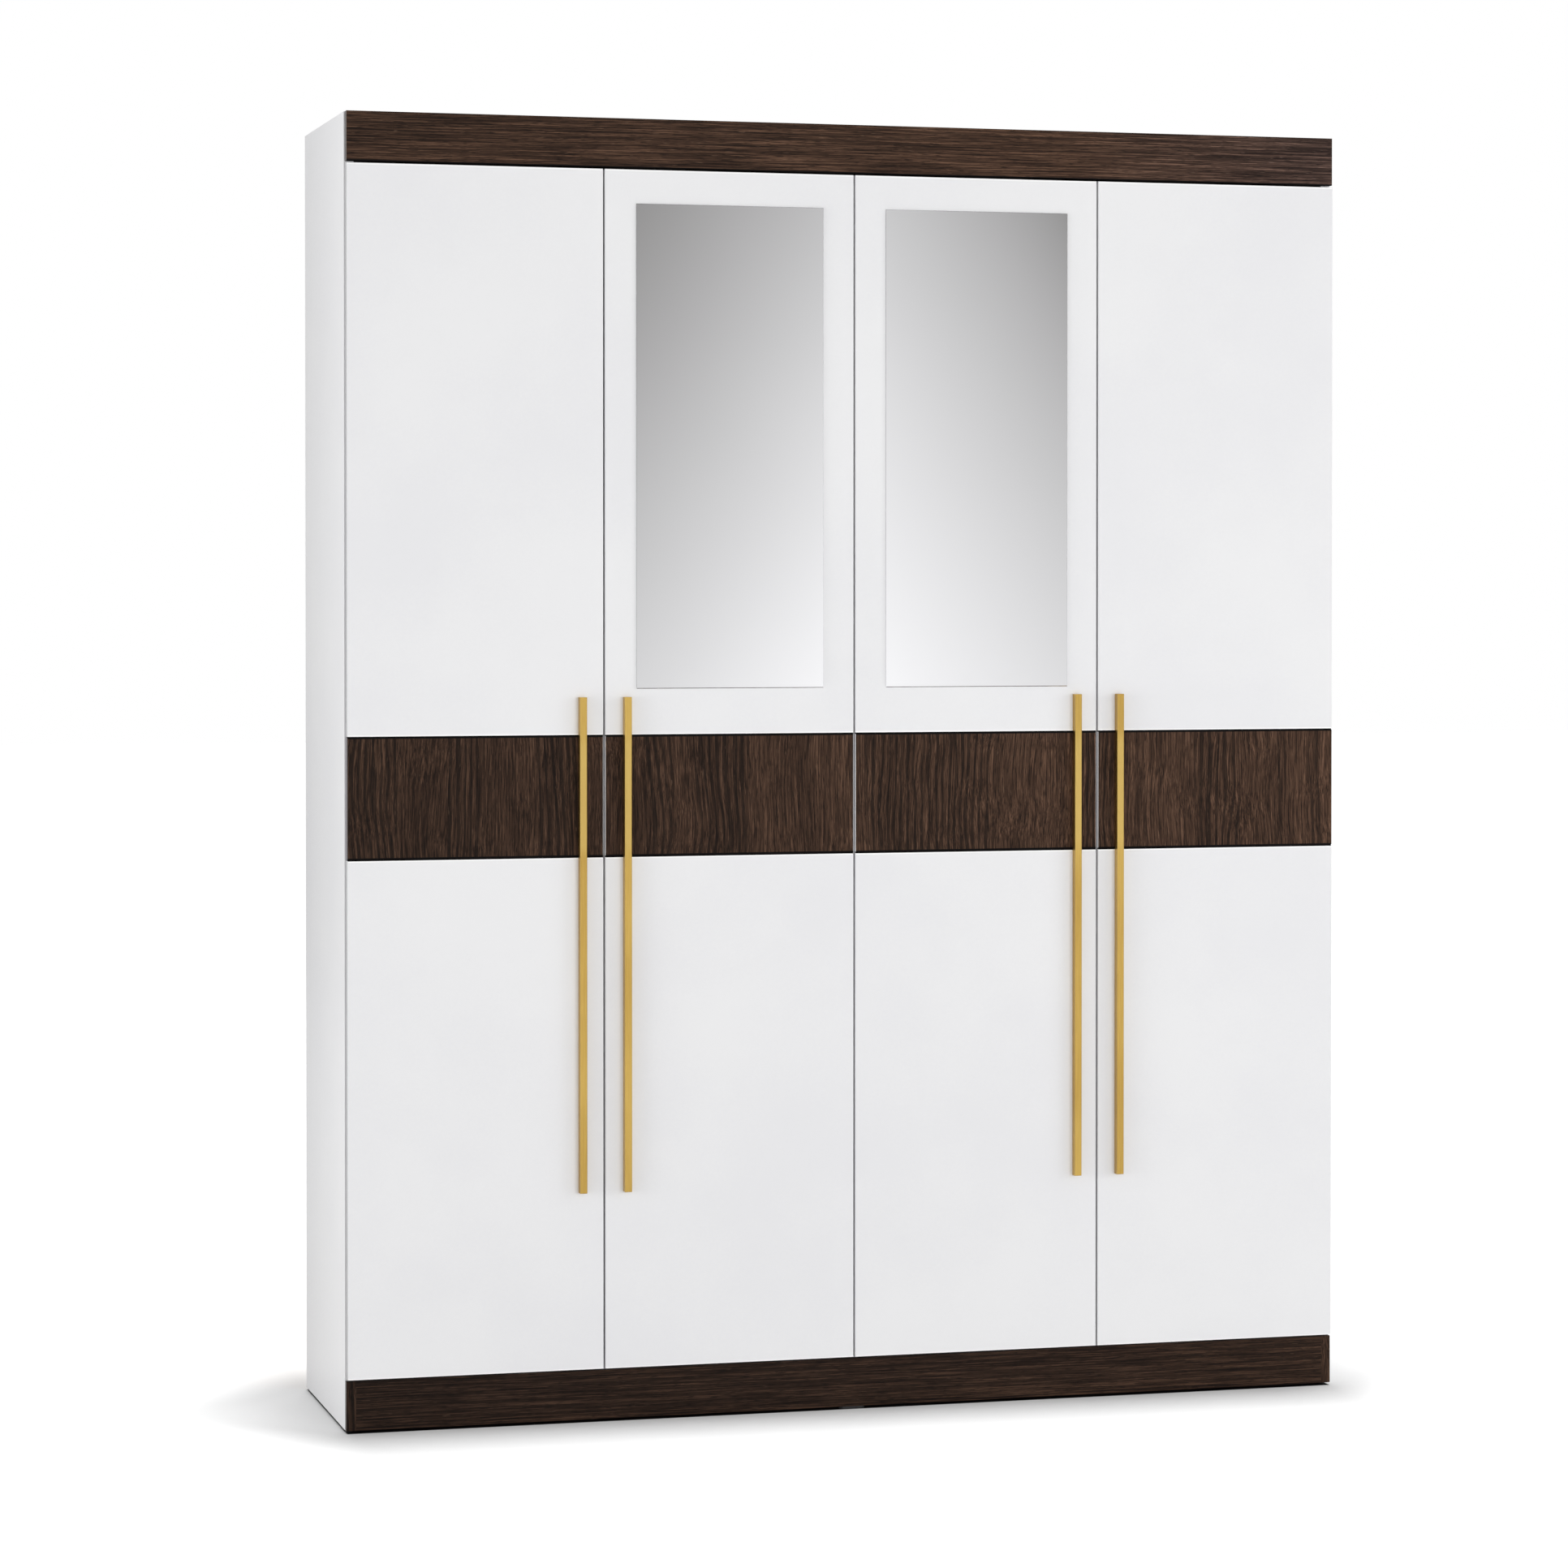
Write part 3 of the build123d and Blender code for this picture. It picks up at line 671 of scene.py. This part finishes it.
# parts of a head's radius or height
dome = {"wall": 0.55, "shoulder": 0.28, "crown": 0.45, "recessRim": 0.30, "recessDepth": 0.5,
        "recessFoot": 0.8, "sides": 14}


# domed head standing on z = 0, with a small driver recess where it is a screw
def domedHead(name, radius, height, sides=dome["sides"], recess=True):
    wall = height * dome["wall"]
    bpy.ops.mesh.primitive_cylinder_add(vertices=sides, radius=radius, depth=wall, location=(0, 0, wall / 2))
    head = bpy.context.object
    head.name = name
    bpy.ops.object.transform_apply()
    pickFaces(head, lambda middle, normal: normal.z > square)
    bpy.ops.mesh.inset(thickness=radius * dome["shoulder"])
    bpy.ops.transform.translate(value=(0, 0, height * dome["crown"]))
    if recess:
        bpy.ops.mesh.inset(thickness=radius * dome["recessRim"])
        down = {"value": (0, 0, -height * dome["recessDepth"])}
        bpy.ops.mesh.extrude_region_move(TRANSFORM_OT_translate=down)
        bpy.ops.transform.resize(value=(dome["recessFoot"], dome["recessFoot"], 1))
    bpy.ops.object.mode_set(mode="OBJECT")
    return head


def facing(place, direction):
    turn = Vector(direction).to_track_quat("Z", "Y").to_matrix().to_4x4()
    return Matrix.Translation(place) @ turn


# one object holding a copy of the model at each place
def spread(model, places, name, body, finish):
    copies = []
    for place in places:
        copy = model.copy()
        copy.data = model.data.copy()
        copy.data.transform(place)
        scene.collection.objects.link(copy)
        copies.append(copy)
    bpy.ops.object.select_all(action="DESELECT")
    for copy in copies:
        copy.select_set(True)
    bpy.context.view_layer.objects.active = copies[0]
    if len(copies) > 1:
        bpy.ops.object.join()
    group = bpy.context.view_layer.objects.active
    group.name = name
    group.data.materials.clear()
    group.data.materials.append(finish)
    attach(group, body)
    bpy.ops.object.select_all(action="DESELECT")


def discard(*models):
    for model in models:
        bpy.data.objects.remove(model)


hinge = {
    "flangeHalf": 0.030,      # along the door
    "overBand": 0.070,        # band's upper groove to the middle hinge
    "cupCentre": 0.0225,
    "flangeTop": 0.001,
    "cupScrew": 0.024,
    "plateScrewY": 0.039,     # door back to the plate's screws
    "plateScrew": 0.021,
    "plateFace": {"outer": 0.0155, "inner": 0.0080},    # hinge edge to the plate's face
    "armTop": 0.0265,
    "armScrews": (0.030, 0.070),
    "pivots": ((0.04337, 0.01896), (0.03572, 0.00334)),
    "cheek": 0.0084,
    "rivetRadius": 0.0023, "rivetHeight": 0.0007, "rivetSides": 10,
    "screwRadius": 0.0036, "cupScrewHeight": 0.0010, "plateScrewHeight": 0.0018,
}
handle = {"screwInset": 0.060, "screwRadius": 0.0045, "screwHeight": 0.0022}


# hinge edge, door back and the three hinge heights of a door
def hingePlaces(door):
    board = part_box(f"door_{door}_board")
    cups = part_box(f"door_{door}_hinge_cups")
    edge = board[0].x if hingeHand[door] > 0 else board[1].x
    heights = (cups[0].z + hinge["flangeHalf"], cutHigh + hinge["overBand"], cups[1].z - hinge["flangeHalf"])
    return edge, board[1].y, heights


cupScrewModel = domedHead("cupScrewModel", hinge["screwRadius"], hinge["cupScrewHeight"])
plateScrewModel = domedHead("plateScrewModel", hinge["screwRadius"], hinge["plateScrewHeight"])
handleScrewModel = domedHead("handleScrewModel", handle["screwRadius"], handle["screwHeight"])
rivetModel = domedHead("rivetModel", hinge["rivetRadius"], hinge["rivetHeight"], hinge["rivetSides"], False)
plateScrews, armScrews, rivets = [], [], []
for door in doors:
    edge, back, heights = hingePlaces(door)
    hand = hingeHand[door]
    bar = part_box(f"door_{door}_handle_bar")
    barX = (bar[0].x + bar[1].x) / 2
    screws = [facing((barX, back, z), (0, 1, 0))
              for z in (bar[0].z + handle["screwInset"], bar[1].z - handle["screwInset"])]
    spread(handleScrewModel, screws, f"door_{door}_handle_screws", f"door_{door}", hingeSteel)
    screws = [facing((edge + hand * hinge["cupCentre"], back + hinge["flangeTop"], z + end), (0, 1, 0))
              for z in heights for end in (-hinge["cupScrew"], hinge["cupScrew"])]
    spread(cupScrewModel, screws, f"door_{door}_cup_screws", f"door_{door}", hingeSteel)
    plateFace = hinge["plateFace"]["outer" if door in outerEdge else "inner"] * hand
    plateScrews += [facing((edge + plateFace, back + hinge["plateScrewY"], z + end), (hand, 0, 0))
                    for z in heights for end in (-hinge["plateScrew"], hinge["plateScrew"])]
    armScrews += [facing((edge + hand * hinge["armTop"], back + y, z), (hand, 0, 0))
                  for z in heights for y in hinge["armScrews"]]
    rivets += [facing((edge + hand * across, back + inward, z + end * hinge["cheek"]), (0, 0, end))
               for z in heights for across, inward in hinge["pivots"] for end in (-1, 1)]
spread(plateScrewModel, plateScrews, "hinge_plate_screws", "carcass", hingeSteel)
spread(plateScrewModel, armScrews, "hinge_arm_screws", "carcass", hingeSteel)
spread(rivetModel, rivets, "hinge_arm_rivets", "carcass", hingeSteel)
discard(cupScrewModel, plateScrewModel, handleScrewModel, rivetModel)
print("door screws and hinge rivets placed")

bracket = {"foot": 0.014, "footThickness": 0.003, "screwX": 0.010, "radius": 0.0033, "height": 0.0014}
support = {"wall": 0.002, "drop": 0.008, "inset": 0.050, "radius": 0.0032, "height": 0.0014,
           "looseShelves": (1, 3, 4)}
fittingScrewModel = domedHead("fittingScrewModel", support["radius"], support["height"])
low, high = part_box("rail_brackets")
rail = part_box("hanging_rail")
railX = (rail[0].x + rail[1].x) / 2
screws = [facing((railX + side * bracket["screwX"], y, high.z - bracket["footThickness"]), (0, 0, -1))
          for side in (-1, 1) for y in (low.y + bracket["foot"], high.y - bracket["foot"])]
spread(fittingScrewModel, screws, "rail_bracket_screws", "carcass", hingeSteel)
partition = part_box("centre_partition")
screws = []
for number in support["looseShelves"]:
    low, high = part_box(f"right_bay_shelf_{number}")
    for x, turn in ((partition[1].x, 1), (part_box("right_side_panel")[0].x, -1)):
        screws += [facing((x + turn * support["wall"], y, low.z - support["drop"]), (turn, 0, 0))
                   for y in (low.y + support["inset"], high.y - support["inset"])]
spread(fittingScrewModel, screws, "shelf_support_screws", "carcass", hingeSteel)
discard(fittingScrewModel)
print("rail and shelf screws placed")

camCap = {"radius": 0.0085, "height": 0.0012, "sides": 28, "rim": 0.25, "dish": 0.25,
          "inset": 0.034, "front": 0.050, "rear": 0.060}
capModel = domedHead("capModel", camCap["radius"], camCap["height"], camCap["sides"], False)
pickFaces(capModel, lambda middle, normal: normal.z > square)
bpy.ops.mesh.inset(thickness=camCap["radius"] * camCap["rim"])
bpy.ops.transform.translate(value=(0, 0, -camCap["height"] * camCap["dish"]))
bpy.ops.object.mode_set(mode="OBJECT")
leftX, rightX = sideBox[1].x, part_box("right_side_panel")[0].x
leftBay = (leftX + camCap["inset"], partition[0].x - camCap["inset"])
rightBay = (partition[1].x + camCap["inset"], rightX - camCap["inset"])
caps = []
for name, columns in (("top_panel", leftBay + rightBay), ("hat_shelf", leftBay),
                      ("right_bay_shelf_2", rightBay)):
    low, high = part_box(name)
    caps += [facing((x, y, low.z), (0, 0, -1)) for x in columns
             for y in (low.y + camCap["front"], high.y - camCap["rear"])]
spread(capModel, caps, "cam_covers", "carcass", supportWhite)
discard(capModel)
print("cam covers placed")

nail = {"radius": 0.0022, "height": 0.0006, "sides": 8, "sideInset": 0.0033, "midInset": 0.0038,
        "endInset": 0.060, "columnSteps": 13, "rowInset": 0.090, "rowSteps": 5}
nailModel = domedHead("nailModel", nail["radius"], nail["height"], nail["sides"], False)
boardHalf = (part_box("top_panel")[1].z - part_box("top_panel")[0].z) / 2
rows = (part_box("bottom_panel")[0].z + boardHalf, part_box("top_panel")[0].z + boardHalf)
nails = []


def evenly(start, end, steps):
    return [start + (end - start) * step / steps for step in range(steps + 1)]


for side, inward in (("left", 1), ("right", -1)):
    low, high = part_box(f"{side}_back_sheet")
    insets = (nail["sideInset"], nail["midInset"]) if inward > 0 else (nail["midInset"], nail["sideInset"])
    for x in (low.x + insets[0], high.x - insets[1]):
        nails += [facing((x, high.y, z), (0, 1, 0))
                  for z in evenly(low.z + nail["endInset"], high.z - nail["endInset"], nail["columnSteps"])]
    for z in rows:
        nails += [facing((x, high.y, z), (0, 1, 0))
                  for x in evenly(low.x + nail["rowInset"], high.x - nail["rowInset"], nail["rowSteps"])]
spread(nailModel, nails, "back_sheet_nails", "carcass", hingeSteel)
discard(nailModel)
print("back nails placed")

studio = {
    "floorSize": 60.0,
    "floorLight": srgb(240, 240, 240), "floorDark": srgb(236, 236, 236),
    "floorCloud": 2.0, "floorRough": 0.85, "floorSheen": 0.1,
    "underShade": srgb(26, 26, 27),      # painted shade on the floor under the armoire
    "underShadeFade": 0.004,
    "sideInset": 0.003,         # how far in from the sides that painted shade starts
    "floorLift": (0.07, 0.64),  # painted light: the floor glows white for the camera, this much at the object and away from it
    "liftReach": 0.28,          # metres from the footprint to the full lift
    "leftStretch": 0.72,        # below 1 the shade reaches further to that side
    "rightStretch": 0.65,
    "rightInset": 0.13,         # the lift starts this far before the right end
    "narrowing": (1.1, 0.8),    # of the shade in front and behind, per metre away from the sides
    "ambient": 0.46,
    "glossyShare": 0.55,        # of the lift, where the floor is mirrored in the fronts
    "aim": (0, 0, 1.0),
    "lamps": (
        ("keyLamp", (1.6, -7.2, 0.5), 4.5, 268),
        ("fillLamp", (-6.5, -1.8, 0.8), 3.0, 154),
        ("rightLamp", (6.5, -3.5, 2.0), 3.0, 90),
        ("backLamp", (0.0, 6.0, 4.5), 5.0, 150),
    ),
}


# how far a place is past a range on one axis; before and after stretch the two sides
def beyond(tree, value, low, high, before=1.0, after=1.0):
    below = sums(tree, "MULTIPLY", sums(tree, "SUBTRACT", low, value), before)
    above = sums(tree, "MULTIPLY", sums(tree, "SUBTRACT", value, high), after)
    return sums(tree, "MAXIMUM", sums(tree, "MAXIMUM", below, above), 0.0)


# length of the gaps taken together
def distance(tree, *gaps):
    return sums(tree, "SQRT", sums(tree, "ADD", *(sums(tree, "MULTIPLY", gap, gap) for gap in gaps)))


def addFloor():
    bpy.ops.mesh.primitive_plane_add(size=studio["floorSize"], location=(0, 0, 0))
    floor = bpy.context.object
    floor.name = "studioFloor"
    finish, tree, bsdf = newFinish("studioFloor")
    place = objectPlace(tree)
    low = Vector((cadBox[0][0] + studio["sideInset"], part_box("plinth_board")[0].y, 0))
    high = Vector((cadBox[1][0] - studio["sideInset"], cadBox[1][1], 0))
    x, y = (axisOf(tree, place, axis) for axis in "XY")
    aside = beyond(tree, x, low.x, high.x)
    away = distance(tree, aside, beyond(tree, y, low.y, high.y))
    frontNarrowing, rearNarrowing = studio["narrowing"]
    frontLimit = sums(tree, "MULTIPLY_ADD", aside, frontNarrowing, low.y)
    rearLimit = sums(tree, "MULTIPLY_ADD", aside, -rearNarrowing, high.y)
    across = beyond(tree, x, low.x, high.x - studio["rightInset"],
                    studio["leftStretch"], studio["rightStretch"])
    shadeAway = distance(tree, across, beyond(tree, y, frontLimit, rearLimit))
    clouding = clamped(tree, cloud(tree, place, studio["floorCloud"]), *noiseSpan)
    colour = mixed(tree, clouding, studio["floorDark"], studio["floorLight"])
    # painted shade on the floor under the armoire
    clear = clamped(tree, away, 0, studio["underShadeFade"])
    colour = mixed(tree, clear, studio["underShade"], colour)
    feed(tree, bsdf.inputs["Base Color"], colour)
    bsdf.inputs["Roughness"].default_value = studio["floorRough"]
    bsdf.inputs["Specular IOR Level"].default_value = studio["floorSheen"]
    # painted light: an evenly white floor far off, with painted shade shaped near the armoire where the glow
    # weakens
    rays = put(tree, "ShaderNodeLightPath")
    mirrored = sums(tree, "MULTIPLY", rays.outputs["Is Glossy Ray"], studio["glossyShare"])
    seen = sums(tree, "MAXIMUM", rays.outputs["Is Camera Ray"], mirrored)
    bsdf.inputs["Emission Color"].default_value = (1, 1, 1, 1)
    lift = clamped(tree, shadeAway, 0, studio["liftReach"], *studio["floorLift"])
    lift = sums(tree, "MULTIPLY", clear, lift)
    feed(tree, bsdf.inputs["Emission Strength"], sums(tree, "MULTIPLY", seen, lift))
    floor.data.materials.append(finish)


def addLamp(name, place, size, power):
    bpy.ops.object.light_add(type="AREA", location=place)
    lamp = bpy.context.object
    lamp.name = name
    lamp.data.shape = "DISK"
    lamp.data.size = size
    lamp.data.energy = power
    lamp.rotation_euler = (Vector(studio["aim"]) - Vector(place)).to_track_quat("-Z", "Y").to_euler()
    lamp.visible_camera = False
    lamp.visible_glossy = False


def setWorld():
    world = bpy.data.worlds.new("studioWorld")
    scene.world = world
    world.use_nodes = True
    tree = world.node_tree
    background = tree.nodes["Background"]
    rays = put(tree, "ShaderNodeLightPath")
    direct = sums(tree, "MAXIMUM", rays.outputs["Is Camera Ray"], rays.outputs["Is Glossy Ray"])
    direct = sums(tree, "MAXIMUM", direct, rays.outputs["Is Transmission Ray"])
    background.inputs["Color"].default_value = (1, 1, 1, 1)
    feed(tree, background.inputs["Strength"], clamped(tree, direct, 0, 1, studio["ambient"], 1, False))


addFloor()
for lampSetup in studio["lamps"]:
    addLamp(*lampSetup)
setWorld()
scene.view_settings.view_transform = "Standard"
print("studio ready")
